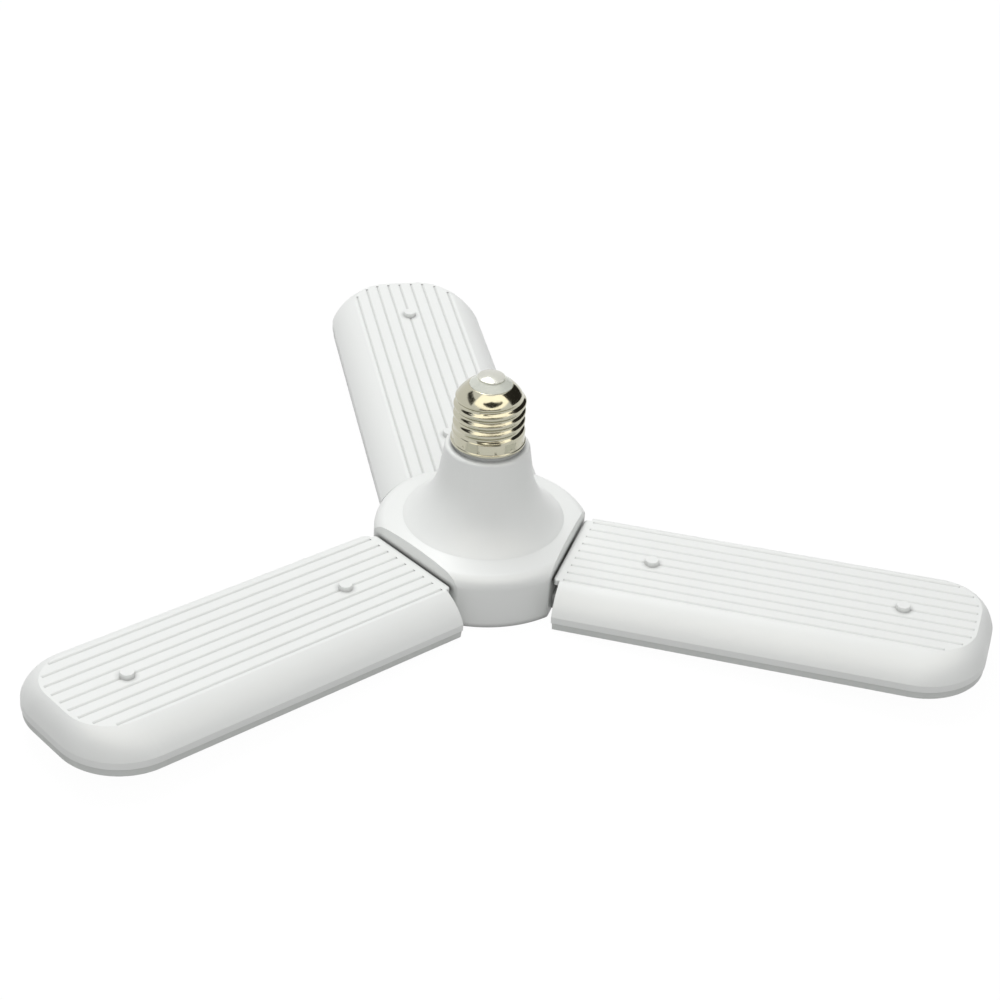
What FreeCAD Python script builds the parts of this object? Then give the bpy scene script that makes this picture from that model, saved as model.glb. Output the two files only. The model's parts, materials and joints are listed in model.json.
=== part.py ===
import FreeCAD
import Part
import math
import os

# Ceiling lamp with a screw cap and three ribbed light panels ("blades") that fold down.
# Millimetres. Origin: on the lamp's axis, at the metal cap's lower rim. +Z points up, out of
# the cap's centre contact. Blade 1 lies at FIRST_BLADE degrees about +Z, the others follow.
# The blades are drawn as the lamp rests on a table, tipped up by REST_TILT.

# ---------------------------------------------------------------- driving dimensions
# screw cap, size E27/27
SKIRT_R = 13.3               # outside of the plain skirt
SKIRT_H = 4.8                # skirt height above the rim
SHELL_WALL = 0.3             # sheet thickness
CREST_R = 13.1               # thread crest
THREAD_PITCH = 3.629
THREAD_DEPTH = 1.1
THREAD_START = 6.5           # height of a groove on the side that faces THREAD_FACING
THREAD_FACING = -82.0        # degrees about +Z
THREAD_TURNS = 3.1
GROOVE_WIRE_R = 1.3          # radius of the round groove between two crests
CAP_SHOULDER_Z = 16.9        # where the cap starts to narrow
SHOULDER_BULGE = 0.5         # how far the narrowing part stands out from a straight cone
SHELL_TOP_Z = 23.2
SHELL_TOP_R = 7.8            # hole in the shell's top
INSULATOR_H = 1.3            # glass plug: thickness below the shell's top
INSULATOR_CONE_H = 2.1       # its cone above the shell's top
INSULATOR_LEDGE = 0.4        # cone's top, out beyond the contact button
INSULATOR_FIT = 0.05
CONTACT_R = 4.9
CONTACT_H = 1.6              # height of the contact button above the glass
CONTACT_RIM_H = 0.8          # its straight edge, below the dome
CONTACT_STEM_R = 1.2
STEM_PROUD = 1.0             # stem's length below the glass

# hub housing: neck, flare, crease, shoulder, rim
LIP_DROP = 1.8               # housing's lip below the cap's rim
NECK_TOP_R = 15.44
NECK_EDGE_R = 1.2
NECK_LEAN = 9.0              # degrees from the vertical
NECK_H = 11.5                # lip to the start of the flare
CREASE_R = 29.9              # where the hollow flare meets the flatter shoulder
CREASE_Z = -32.8
SHOULDER_SLOPE = 13.0        # degrees below the horizontal
HUB_R = 40.4
HUB_EDGE_R = 5.0             # rounding between shoulder and rim
HUB_BOTTOM = -55.0
HUB_WALL = 2.2
HUB_FLAT = 33.2              # axis to each of the three flat sides
HUB_CORNER_R = 2.5           # upright edges between the flats and the round rim
SPIGOT_PLAY = 0.15           # between the plastic spigot and the metal skirt around it
SPIGOT_H = 4.2
SPIGOT_WALL = 1.1

# cover under the hub
COVER_T = 2.0
COVER_GAP = 0.3
COVER_SCREW_PLACE_R = 30.0
COVER_SCREW_R = 1.5
COVER_SCREW_LENGTH = 9.0
COVER_HEAD_R = 2.9
COVER_HEAD_H = 1.5
COVER_BOSS_R = 3.6
POST_R = 2.6
POST_PLACE_R = 20.0
PEG_R = 1.0
PEG_H = 2.4

# driver electronics, on one round board
DRIVER_BOARD_R = 25.0
DRIVER_BOARD_T = 1.6
DRIVER_BOARD_LIFT = 4.6      # underside of the board above the cover
CAPACITOR_R = 5.0
CAPACITOR_H = 20.0
CAPACITOR_PLACE = (-6.5, 3.0)
CORE_SIZE = (14.0, 12.0, 12.0)
CORE_PLACE = (6.0, 7.2)
CORE_LEG = 3.2               # thickness of the ferrite's outer legs
COIL_GAP = 0.25
FILM_SIZE = (12.0, 5.5, 9.5)
FILM_PLACE = (3.0, -8.0)
BRIDGE_SIZE = (8.0, 6.4, 3.2)
BRIDGE_PLACE = (-12.0, -9.5)
BRIDGE_CHAMFER = 1.0
CHIP_SIZE = (4.9, 3.9, 1.6)
CHIP_PLACE = (14.5, -4.0)
FUSE_R = 1.7
FUSE_L = 7.5
FUSE_PLACE = (-15.0, 5.5)
FUSE_LIFT = 0.8
FUSE_LEG_R = 0.35
FUSE_LEG_REACH = 1.6
FUSE_LEG_BEND = 0.9
WIRE_R = 0.7                 # insulated hook-up wire

# bend points of the two leads between cap and driver board, and the radius of each bend
LIVE_ROUTE = ((0.0, 0.0, 6.0), (2.0, -3.0, -9.0), (-3.0, -12.0, -24.0), (-4.0, -14.5, -36.0))
LIVE_BENDS = (18.0, 22.0, 16.0, 20.0)
NEUTRAL_JOINT_Z = 12.0       # top of the lead that is joined to the inside of the shell
NEUTRAL_LEAVES_Z = 3.0       # where it leaves the shell
NEUTRAL_ROUTE = ((8.5, -3.0, -8.0), (12.0, -6.0, -24.0), (16.0, -9.5, -36.0))
NEUTRAL_BENDS = (16.0, 18.0, 18.0, 16.0)

# hinge between hub and blade
BLADE_COUNT = 3
FIRST_BLADE = -16.4          # degrees about +Z
REST_TILT = 3.0              # degrees that each blade points up at rest
HINGE_OUT = 3.8              # hub's flat to hinge axis
HINGE_Z = -51.3
KNUCKLE_R = 3.0
PIN_R = 1.25
PIN_RUN_GAP = 0.05           # radial play of the pin in the blade's knuckle
PIN_SEAT_GAP = 0.02          # radial play of the pin in the hub's lug
PIN_HEAD_R = 2.2
PIN_HEAD_H = 1.2
KNUCKLE_IN = 4.2             # inner face of a blade knuckle, from the blade's middle
KNUCKLE_L = 6.8
WASHER_T = 0.4
WASHER_R = 2.8
WASHER_GAP = 0.1             # each side of the washer
LUG_L = 6.4
LEAD_PORT = (5.0, 3.4)       # width and height of the wires' way through both walls
LEAD_PAIR_GAP = 0.3
LEAD_START_R = 19.5          # lamp's axis to where the wires leave the driver board
LEAD_END_X = 12.5            # hinge axis to where they meet the light board
LEAD_BENDS = (2.2, 40.0, 4.0)

# blade: distances out are from the hinge axis, heights are above it
BLADE_L = 151.65             # hinge axis to the tip
BLADE_HALF_W = 31.8
PLATEAU_Z = 12.0
PLATEAU_HALF_W = 21.8
PLATEAU_SETBACK = 4.4        # tip of the ribbed top, back from the tip of the blade
PLATEAU_CORNER_R = 15.6
RIM_CORNER_R = 23.4
RIM_Z = 3.0                  # foot of the sloping flank
LIP_Z = 0.4                  # lower edge of the shell
FLANK_ANGLES = (22.0, 62.0)  # slope of the flank at its top and foot, degrees
FLANK_STEPS = 4
SHELL_T = 2.0
GROOVE_COUNT = 9
GROOVE_PITCH = 5.0
GROOVE_W = 1.3
GROOVE_DEPTH = 0.4
GROOVE_START = 1.0
GROOVE_END_MARGIN = 1.2
NUB_FIRST = 28.8             # hinge axis to the inner nub
NUB_LAST_BACK = 31.25        # outer nub, back from the tip
NUB_R = 2.9
NUB_TOP_R = 2.3
NUB_H = 1.7
TONGUE_HALF_W = 21.2
TONGUE_T = 2.2
TONGUE_CORNER_R = 1.5
TONGUE_EDGE_R = 0.6
TONGUE_STOP_GAP = 0.6        # between the tongue and the hub's flat at rest
POCKET_HALF_W = 22.5
POCKET_DEPTH = 3.6           # hinge axis to the pocket's back wall
POCKET_WALL = 1.8

# milky cover of a blade
DIFFUSER_Z = -2.5            # its underside
DIFFUSER_T = 1.2
DIFFUSER_INSET = 0.2         # visible band, back from the shell's lip
DIFFUSER_DRAFT = 0.3         # band's lower edge, back from its upper edge
PLUG_H = 2.2
PLUG_GAP = 0.3
PLUG_WALL = 1.3

# light board of a blade
LED_BOARD_TOP = 6.2
LED_BOARD_T = 1.0
LED_BOARD_START = 7.0
LED_BOARD_SIDE_GAP = 8.2     # board's side, in from the side of the blade
LED_BOARD_TIP_GAP = 6.65     # board's tip, back from the tip of the blade
LED_BOARD_CORNER_R = 13.0
BOARD_BOSS_R = 3.2
BOARD_SCREW_R = 1.25
BOARD_SCREW_LENGTH = 4.0
BOARD_HEAD_R = 2.4
BOARD_HEAD_H = 1.3
CHIP_ROWS = (-17.0, -7.0, 7.0, 17.0)
CHIP_COLUMNS = 12
CHIP_FIRST = 16.0
CHIP_TIP_MARGIN = 12.4       # last column, back from the board's tip
LED_CHIP = (3.5, 2.8, 0.8)

# ---------------------------------------------------------------- sizes that follow
V = FreeCAD.Vector
UP = V(0, 0, 1)
FAR = 60.0                   # reach of a cutting block that passes right through a piece
SHELL_INNER_R = CREST_R - THREAD_DEPTH - SHELL_WALL
INSULATOR_TOP = SHELL_TOP_Z + INSULATOR_CONE_H
STEM_FOOT = SHELL_TOP_Z - INSULATOR_H - STEM_PROUD
SPIGOT_R = SKIRT_R - SHELL_WALL - SPIGOT_PLAY
LIP_TOP_Z = -LIP_DROP
HINGE_R = HUB_FLAT + HINGE_OUT
COVER_TOP = HUB_BOTTOM + COVER_T
BOARD_UNDER = COVER_TOP + DRIVER_BOARD_LIFT
BOARD_TOP = BOARD_UNDER + DRIVER_BOARD_T
LUG_IN = KNUCKLE_IN + KNUCKLE_L + WASHER_T + 2 * WASHER_GAP
LUG_OUT = LUG_IN + LUG_L
POCKET_BACK = POCKET_DEPTH + POCKET_WALL
BLADE_TURN = 360 / BLADE_COUNT
SHORT_SIDES = [FIRST_BLADE + BLADE_TURN * (i + 0.5) for i in range(BLADE_COUNT)]
NUB_X = (NUB_FIRST, BLADE_L - NUB_LAST_BACK)
LED_BOARD_HALF_W = BLADE_HALF_W - LED_BOARD_SIDE_GAP
LED_BOARD_TIP = BLADE_L - LED_BOARD_TIP_GAP
CHIP_PITCH = (LED_BOARD_TIP - CHIP_TIP_MARGIN - CHIP_FIRST) / (CHIP_COLUMNS - 1)


# ---------------------------------------------------------------- helpers
def box(x0, x1, y0, y1, z0, z1):
    return Part.makeBox(x1 - x0, y1 - y0, z1 - z0, V(x0, y0, z0))


def rod(radius, start, end):
    """Cylinder from one point to another."""
    start, end = V(*start), V(*end)
    return Part.makeCylinder(radius, start.distanceToPoint(end), start, end - start)


def fused(pieces):
    whole = pieces[0]
    for piece in pieces[1:]:
        whole = whole.fuse(piece)
    return whole.removeSplitter()


def revolved(points):
    """Solid of revolution about Z from a closed outline of points (r, z) or arcs
    ((r, z) through, (r, z) end)."""
    edges = []
    first = here = V(points[0][0], 0, points[0][1])
    for step in points[1:] + [points[0]]:
        if isinstance(step[0], tuple):
            through, end = (V(p[0], 0, p[1]) for p in step)
            edges.append(Part.Arc(here, through, end).toShape())
        else:
            end = V(step[0], 0, step[1])
            if here.distanceToPoint(end) < 1e-7:
                continue
            edges.append(Part.LineSegment(here, end).toShape())
        here = end
    assert here.distanceToPoint(first) < 1e-7
    return Part.Face(Part.Wire(edges)).revolve(V(0, 0, 0), UP, 360)


def arc_middle(centre, radius, angle_a, angle_b):
    """Point halfway along an arc, angles in degrees."""
    middle = math.radians((angle_a + angle_b) / 2)
    return (centre[0] + radius * math.cos(middle), centre[1] + radius * math.sin(middle))


def on_circle(centre, radius, angle):
    return arc_middle(centre, radius, angle, angle)


def smooth_tube(points, bends, radius):
    """Round tube along straight runs joined by tangent arcs, one bend radius per inner point."""
    points = [V(*p) for p in points]
    edges = []
    here = points[0]
    for before, corner, after, bend in zip(points, points[1:], points[2:], bends):
        inward = (corner - before).normalize()
        onward = (after - corner).normalize()
        turn = inward.getAngle(onward)
        reach = bend * math.tan(turn / 2)
        start = corner - inward * reach
        end = corner + onward * reach
        half = (onward - inward).normalize()
        centre = corner + half * (bend / math.cos(turn / 2))
        edges.append(Part.LineSegment(here, start).toShape())
        edges.append(Part.Arc(start, centre - half * bend, end).toShape())
        here = end
    edges.append(Part.LineSegment(here, points[-1]).toShape())
    spine = Part.Wire(edges)
    circle = Part.Wire(Part.makeCircle(radius, points[0], points[1] - points[0]))
    tube = spine.makePipeShell([circle], True, False)
    length = spine.Length
    error = abs(tube.Volume / (math.pi * radius ** 2 * length) - 1)
    print("tube", round(length, 1), "mm long, bends", bends, "volume error", round(error, 5))
    return tube


def screw(head_r, head_h, shank_r, shank_l, recess_r, recess_depth):
    """Pan-head screw with its shank up along +Z from the head's top plane at z = 0."""
    head = Part.makeCylinder(head_r, head_h, V(0, 0, -head_h))
    head = head.makeFillet(head_h * 0.45, [round_edge(head, -head_h)])
    shank = Part.makeCylinder(shank_r, shank_l)
    for turn in (0, 90):
        slot = box(-recess_r, recess_r, -recess_r / 4, recess_r / 4, -head_h, recess_depth - head_h)
        slot.rotate(V(0, 0, 0), UP, turn)
        head = head.cut(slot)
    return head.fuse(shank).removeSplitter()


def round_edge(shape, z):
    """The circular edge of a shape that lies at height z."""
    for edge in shape.Edges:
        bounds = edge.BoundBox
        if abs(bounds.ZMin - z) < 1e-6 and abs(bounds.ZMax - z) < 1e-6:
            return edge
    raise ValueError("no edge at that height")


# ---------------------------------------------------------------- screw cap
def shoulder_arc():
    """Centre and radius of the bulging arc from the top of the thread to the hole in the top."""
    narrowing, rise = CREST_R - SHELL_TOP_R, SHELL_TOP_Z - CAP_SHOULDER_Z
    chord = math.hypot(narrowing, rise)
    radius = (chord ** 2 / 4 + SHOULDER_BULGE ** 2) / (2 * SHOULDER_BULGE)
    back = radius - SHOULDER_BULGE
    centre = ((CREST_R + SHELL_TOP_R) / 2 - back * rise / chord,
              (CAP_SHOULDER_Z + SHELL_TOP_Z) / 2 - back * narrowing / chord)
    return centre, radius


def angle_at_radius(centre, radius, r):
    """Where an arc about centre passes r from the lamp's axis, in degrees."""
    return math.degrees(math.acos((r - centre[0]) / radius))


def cap_shell():
    """Thin nickel-plated shell: plain skirt, rolled thread, narrowing top with a round hole."""
    skirt_in = SKIRT_R - SHELL_WALL
    step = SKIRT_R - CREST_R
    centre, bend = shoulder_arc()
    foot = angle_at_radius(centre, bend, CREST_R)
    top = angle_at_radius(centre, bend, SHELL_TOP_R)
    inner_bend = bend - SHELL_WALL
    inner_top = angle_at_radius(centre, inner_bend, SHELL_TOP_R)
    inner_foot = angle_at_radius(centre, inner_bend, SHELL_INNER_R)
    outline = [
        (skirt_in, 0),
        (SKIRT_R, 0),
        (SKIRT_R, SKIRT_H),
        (CREST_R, SKIRT_H + step),
        (CREST_R, CAP_SHOULDER_Z),
        (arc_middle(centre, bend, foot, top), (SHELL_TOP_R, SHELL_TOP_Z)),
        on_circle(centre, inner_bend, inner_top),
        (arc_middle(centre, inner_bend, inner_top, inner_foot), on_circle(centre, inner_bend, inner_foot)),
        (SHELL_INNER_R, SKIRT_H + step),
        (skirt_in, SKIRT_H),
    ]
    shell = revolved(outline)
    return shell.cut(thread_groove())


def thread_groove():
    """Round helical groove, right-handed."""
    axis_r = CREST_R - THREAD_DEPTH + GROOVE_WIRE_R
    helix = Part.makeHelix(THREAD_PITCH, THREAD_PITCH * THREAD_TURNS, axis_r)
    start = V(axis_r, 0, 0)
    slope = THREAD_PITCH / (2 * math.pi)
    circle = Part.Wire(Part.makeCircle(GROOVE_WIRE_R, start, V(0, axis_r, slope)))
    groove = Part.Wire(helix.Edges).makePipeShell([circle], True, True)
    groove.rotate(V(0, 0, 0), UP, THREAD_FACING)
    groove.translate(V(0, 0, THREAD_START))
    return groove


def cap_insulator():
    """Glass plug in the shell's top, with a cone above it that carries the contact."""
    under = SHELL_TOP_Z - INSULATOR_H
    edge_r = SHELL_TOP_R - INSULATOR_FIT
    return revolved([
        (CONTACT_STEM_R, under),
        (edge_r, under),
        (edge_r, SHELL_TOP_Z),
        (CONTACT_R + INSULATOR_LEDGE, INSULATOR_TOP),
        (CONTACT_STEM_R, INSULATOR_TOP),
    ])


def centre_contact():
    """Domed metal button with a short stem through the glass."""
    foot = INSULATOR_TOP
    top = foot + CONTACT_H
    dome_h = CONTACT_H - CONTACT_RIM_H
    ball_r = (CONTACT_R ** 2 + dome_h ** 2) / (2 * dome_h)
    ball_centre = (0, top - ball_r)
    edge_angle = math.degrees(math.acos(CONTACT_R / ball_r))
    button = revolved([
        (0, foot),
        (CONTACT_R, foot),
        (CONTACT_R, foot + CONTACT_RIM_H),
        (arc_middle(ball_centre, ball_r, edge_angle, 90), (0, top)),
    ])
    stem = Part.makeCylinder(CONTACT_STEM_R, foot - STEM_FOOT, V(0, 0, STEM_FOOT))
    return button.fuse(stem).removeSplitter()


# ---------------------------------------------------------------- hub
def hub_profile(inset):
    """Points of the hub's profile from the lip down to the rim, moved inwards by inset. The
    flare leaves the neck smoothly and ends in a crease, where the flatter shoulder begins."""
    lean = math.radians(NECK_LEAN)
    slope = math.radians(SHOULDER_SLOPE)
    neck_end = (NECK_TOP_R + NECK_H * math.tan(lean), LIP_TOP_Z - NECK_H)
    across, down = CREASE_R - neck_end[0], CREASE_Z - neck_end[1]
    flare_r = (across ** 2 + down ** 2) / (2 * (across * math.cos(lean) + down * math.sin(lean)))
    flare_centre = (neck_end[0] + flare_r * math.cos(lean), neck_end[1] + flare_r * math.sin(lean))
    grown = flare_r + inset
    from_angle = 180 + NECK_LEAN
    to_angle = 180 + math.degrees(math.atan2(flare_centre[1] - CREASE_Z, flare_centre[0] - CREASE_R))
    edge_r = HUB_EDGE_R - min(inset, HUB_EDGE_R - 1.0)
    wall_r = HUB_R - inset
    edge_centre_r = wall_r - edge_r
    shoulder_start = (CREASE_R - inset * math.sin(slope), CREASE_Z - inset * math.cos(slope))
    shoulder_r = edge_centre_r + edge_r * math.sin(slope)
    shoulder_z = shoulder_start[1] - (shoulder_r - shoulder_start[0]) * math.tan(slope)
    edge_centre = (edge_centre_r, shoulder_z - edge_r * math.cos(slope))
    neck_end_in = on_circle(flare_centre, grown, from_angle)
    lip = (neck_end_in[0] - (LIP_TOP_Z - neck_end_in[1]) * math.tan(lean), LIP_TOP_Z)
    return {
        "lip": lip,
        "neck_end": neck_end_in,
        "flare_middle": arc_middle(flare_centre, grown, from_angle, to_angle),
        "flare_end": on_circle(flare_centre, grown, to_angle),
        "shoulder_start": shoulder_start,
        "shoulder": (shoulder_r, shoulder_z),
        "edge_middle": arc_middle(edge_centre, edge_r, 90 - SHOULDER_SLOPE, 0),
        "edge_end": (wall_r, edge_centre[1]),
    }


def hub_solid(inset, top_z, bottom_z):
    """Full body of revolution inside the hub's profile."""
    p = hub_profile(inset)
    return revolved([
        (0, bottom_z),
        (p["edge_end"][0], bottom_z),
        p["edge_end"],
        (p["edge_middle"], p["shoulder"]),
        p["shoulder_start"],
        p["flare_end"],
        (p["flare_middle"], p["neck_end"]),
        (p["lip"][0], top_z),
        (0, top_z),
    ])


def hub_prism(inset, z0, z1):
    """Upright prism: circle with three flats, its corners rounded."""
    radius, flat = HUB_R - inset, HUB_FLAT - inset
    body = Part.makeCylinder(radius, z1 - z0, V(0, 0, z0))
    for index in range(BLADE_COUNT):
        side = box(flat, radius + FAR, -radius, radius, z0 - 1, z1 + 1)
        body = body.cut(turned(side, index))
    corner = max(HUB_CORNER_R - inset, 0.4)
    return body.makeFillet(corner, upright_edges(body))


def upright_edges(shape):
    """Straight edges that run along Z."""
    found = []
    for edge in shape.Edges:
        bounds = edge.BoundBox
        if bounds.XLength < 1e-6 and bounds.YLength < 1e-6 and bounds.ZLength > 1e-6:
            found.append(edge)
    return found


def turned(shape, index):
    """A copy of a shape drawn along +X, turned to where blade number index lies."""
    copy = shape.copy()
    copy.rotate(V(0, 0, 0), UP, FIRST_BLADE + index * BLADE_TURN)
    return copy


def hub_lug(side):
    """Hinge lug on a hub flat, on one side of the blade's middle."""
    y0, y1 = sorted((side * LUG_IN, side * LUG_OUT))
    barrel = rod(KNUCKLE_R, (HINGE_R, y0, HINGE_Z), (HINGE_R, y1, HINGE_Z))
    web = box(HUB_FLAT - HUB_WALL / 2, HINGE_R, y0, y1, HINGE_Z - KNUCKLE_R, HINGE_Z + KNUCKLE_R)
    lug = barrel.fuse(web)
    return lug.cut(rod(PIN_R + PIN_SEAT_GAP, (HINGE_R, y0 - 1, HINGE_Z), (HINGE_R, y1 + 1, HINGE_Z)))


def hub_housing():
    """One moulded shell: spigot for the cap, neck, flare, rim with three flats, hinge lugs and
    the bosses that the cover is screwed to."""
    outside = hub_solid(0, LIP_TOP_Z, HUB_BOTTOM)
    lip = round_edge_of_radius(outside, LIP_TOP_Z, hub_profile(0)["lip"][0])
    outside = outside.makeFillet(NECK_EDGE_R, [lip])
    outside = outside.common(hub_prism(0, HUB_BOTTOM - 1, LIP_TOP_Z + 1))
    spigot = Part.makeCylinder(SPIGOT_R, SPIGOT_H + LIP_DROP, V(0, 0, LIP_TOP_Z))
    inside = hub_solid(HUB_WALL, LIP_TOP_Z - HUB_WALL, HUB_BOTTOM - 1)
    inside = inside.common(hub_prism(HUB_WALL, HUB_BOTTOM - 2, LIP_TOP_Z))
    bosses = [cover_boss(angle).common(outside) for angle in SHORT_SIDES]
    bore = Part.makeCylinder(SPIGOT_R - SPIGOT_WALL, SPIGOT_H + LIP_DROP + HUB_WALL + 2,
                             V(0, 0, LIP_TOP_Z - HUB_WALL - 1))
    housing = outside.cut(inside).fuse(spigot).cut(bore)
    housing = fused([housing] + bosses)
    port = box(HUB_FLAT - HUB_WALL - 1, HUB_FLAT + 1, -LEAD_PORT[0] / 2, LEAD_PORT[0] / 2,
               HINGE_Z - LEAD_PORT[1] / 2, HINGE_Z + LEAD_PORT[1] / 2)
    for index in range(BLADE_COUNT):
        for side in (-1, 1):
            housing = housing.fuse(turned(hub_lug(side), index))
        housing = housing.cut(turned(port, index))
    for angle in SHORT_SIDES:
        housing = housing.cut(placed_round(screw_hole(), angle))
    return housing.removeSplitter()


def round_edge_of_radius(shape, z, radius):
    for edge in shape.Edges:
        bounds = edge.BoundBox
        flat = abs(bounds.ZMin - z) < 1e-6 and abs(bounds.ZMax - z) < 1e-6
        if flat and abs(bounds.XMax - radius) < 1e-3:
            return edge
    raise ValueError("no such edge")


def placed_round(shape, angle):
    """A copy of a shape drawn at x = COVER_SCREW_PLACE_R, turned about the lamp's axis."""
    copy = shape.copy()
    copy.rotate(V(0, 0, 0), UP, angle)
    return copy


def cover_boss(angle):
    boss = Part.makeCylinder(COVER_BOSS_R, CREASE_Z - COVER_TOP, V(COVER_SCREW_PLACE_R, 0, COVER_TOP))
    return placed_round(boss, angle)


def screw_hole():
    """Blind hole for a cover screw, a tight thread-forming fit drawn at the screw's size."""
    depth = COVER_SCREW_LENGTH + 1.0
    return Part.makeCylinder(COVER_SCREW_R + 0.02, depth + 1, V(COVER_SCREW_PLACE_R, 0, HUB_BOTTOM))


def hub_cover():
    """Flat plate inside the rim, with screw recesses and three posts for the driver board."""
    plate = hub_prism(HUB_WALL + COVER_GAP, HUB_BOTTOM, COVER_TOP)
    for angle in SHORT_SIDES:
        head = Part.makeCylinder(COVER_HEAD_R + 0.2, COVER_HEAD_H, V(COVER_SCREW_PLACE_R, 0, HUB_BOTTOM))
        shank = Part.makeCylinder(COVER_SCREW_R + 0.2, COVER_T + 1, V(COVER_SCREW_PLACE_R, 0, HUB_BOTTOM))
        plate = plate.cut(placed_round(head.fuse(shank), angle))
    posts = []
    for angle in SHORT_SIDES:
        post = Part.makeCylinder(POST_R, DRIVER_BOARD_LIFT, V(POST_PLACE_R, 0, COVER_TOP))
        peg = Part.makeCylinder(PEG_R, PEG_H, V(POST_PLACE_R, 0, BOARD_UNDER))
        posts.append(placed_round(post.fuse(peg), angle))
    return fused([plate] + posts)


def hub_cover_screws():
    found = []
    for angle in SHORT_SIDES:
        one = screw(COVER_HEAD_R, COVER_HEAD_H, COVER_SCREW_R, COVER_SCREW_LENGTH - COVER_HEAD_H, 1.6, 0.8)
        one.translate(V(COVER_SCREW_PLACE_R, 0, HUB_BOTTOM + COVER_HEAD_H))
        found.append(placed_round(one, angle))
    return Part.makeCompound(found)


# ---------------------------------------------------------------- driver electronics
def driver_board():
    board = Part.makeCylinder(DRIVER_BOARD_R, DRIVER_BOARD_T, V(0, 0, BOARD_UNDER))
    for angle in SHORT_SIDES:
        hole = Part.makeCylinder(PEG_R + 0.1, DRIVER_BOARD_T + 2, V(POST_PLACE_R, 0, BOARD_UNDER - 1))
        board = board.cut(placed_round(hole, angle))
    return board


def block_on_board(size, place, lift=0.0):
    """Box with its foot on the driver board, centred at place."""
    length, width, height = size
    return box(place[0] - length / 2, place[0] + length / 2, place[1] - width / 2, place[1] + width / 2,
               BOARD_TOP + lift, BOARD_TOP + lift + height)


def smoothing_capacitor():
    can = Part.makeCylinder(CAPACITOR_R, CAPACITOR_H, V(CAPACITOR_PLACE[0], CAPACITOR_PLACE[1], BOARD_TOP))
    rims = [round_edge(can, BOARD_TOP), round_edge(can, BOARD_TOP + CAPACITOR_H)]
    can = can.makeFillet(0.8, rims)
    waist = BOARD_TOP + 1.8
    groove = Part.makeTorus(CAPACITOR_R + 0.3, 0.7, V(CAPACITOR_PLACE[0], CAPACITOR_PLACE[1], waist))
    return can.cut(groove)


def transformer_core():
    """Square ferrite frame, open through its middle where the coil sits."""
    body = block_on_board(CORE_SIZE, CORE_PLACE)
    length, width, height = CORE_SIZE
    window = block_on_board((length - 2 * CORE_LEG, width + 2, height - 2 * CORE_LEG), CORE_PLACE, CORE_LEG)
    return body.cut(window)


def transformer_coil():
    """Taped winding inside the core's window, standing proud on both sides."""
    length, width, height = CORE_SIZE
    size = (length - 2 * CORE_LEG - 2 * COIL_GAP, width + 5.0, height - 2 * CORE_LEG - 2 * COIL_GAP)
    coil = block_on_board(size, CORE_PLACE, CORE_LEG + COIL_GAP)
    long_edges = [e for e in coil.Edges if e.BoundBox.YLength > width]
    return coil.makeFillet(1.2, long_edges)


def film_capacitor():
    block = block_on_board(FILM_SIZE, FILM_PLACE)
    return block.makeFillet(0.8, upright_edges(block))


def bridge_rectifier():
    block = block_on_board(BRIDGE_SIZE, BRIDGE_PLACE)
    corner = min(upright_edges(block), key=lambda edge: edge.BoundBox.XMin + edge.BoundBox.YMin)
    return block.makeChamfer(BRIDGE_CHAMFER, [corner])


def driver_chip():
    block = block_on_board(CHIP_SIZE, CHIP_PLACE)
    top = [e for e in block.Edges if e.BoundBox.ZMin > BOARD_TOP + CHIP_SIZE[2] - 1e-6]
    return block.makeChamfer(0.3, top)


def fuse_resistor():
    """Axial fuse resistor with its two bent legs."""
    x, y = FUSE_PLACE
    axis_z = BOARD_TOP + FUSE_LIFT + FUSE_R
    body = rod(FUSE_R, (x, y - FUSE_L / 2, axis_z), (x, y + FUSE_L / 2, axis_z))
    legs = []
    for side in (-1, 1):
        start_y = y + side * (FUSE_L / 2 - FUSE_LEG_REACH / 2)
        foot_y = y + side * (FUSE_L / 2 + FUSE_LEG_REACH)
        legs.append(smooth_tube([(x, start_y, axis_z), (x, foot_y, axis_z), (x, foot_y, BOARD_TOP)],
                                [FUSE_LEG_BEND], FUSE_LEG_R))
    return fused([body] + legs)


def live_lead():
    """From the centre contact's stem down to the driver board."""
    foot = LIVE_ROUTE[-1][:2] + (BOARD_TOP,)
    return smooth_tube([(0, 0, STEM_FOOT)] + list(LIVE_ROUTE) + [foot], LIVE_BENDS, WIRE_R)


def neutral_lead():
    """From the inside of the metal shell down to the driver board."""
    beside = SHELL_INNER_R - WIRE_R
    start = [(beside, 0, NEUTRAL_JOINT_Z), (beside, 0, NEUTRAL_LEAVES_Z)]
    foot = NEUTRAL_ROUTE[-1][:2] + (BOARD_TOP,)
    return smooth_tube(start + list(NEUTRAL_ROUTE) + [foot], NEUTRAL_BENDS, WIRE_R)


# ---------------------------------------------------------------- blade, drawn level
# x runs outwards from the hinge axis, z up from it, y across the blade
def blade_outline(z, half_w, tip, corner_r, start):
    """Closed wire at height z: straight hub end, straight sides, rounded tip corners."""
    corner_r = min(corner_r, half_w - 0.5)
    cx = tip - corner_r
    cy = half_w - corner_r
    bend = corner_r * math.sqrt(0.5)
    p = [V(start, -half_w, z), V(cx, -half_w, z), V(cx + bend, -cy - bend, z), V(tip, -cy, z),
         V(tip, cy, z), V(cx + bend, cy + bend, z), V(cx, half_w, z), V(start, half_w, z)]
    edges = [Part.LineSegment(p[0], p[1]), Part.Arc(p[1], p[2], p[3]), Part.LineSegment(p[3], p[4]),
             Part.Arc(p[4], p[5], p[6]), Part.LineSegment(p[6], p[7]), Part.LineSegment(p[7], p[0])]
    return Part.Wire([edge.toShape() for edge in edges])


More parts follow.
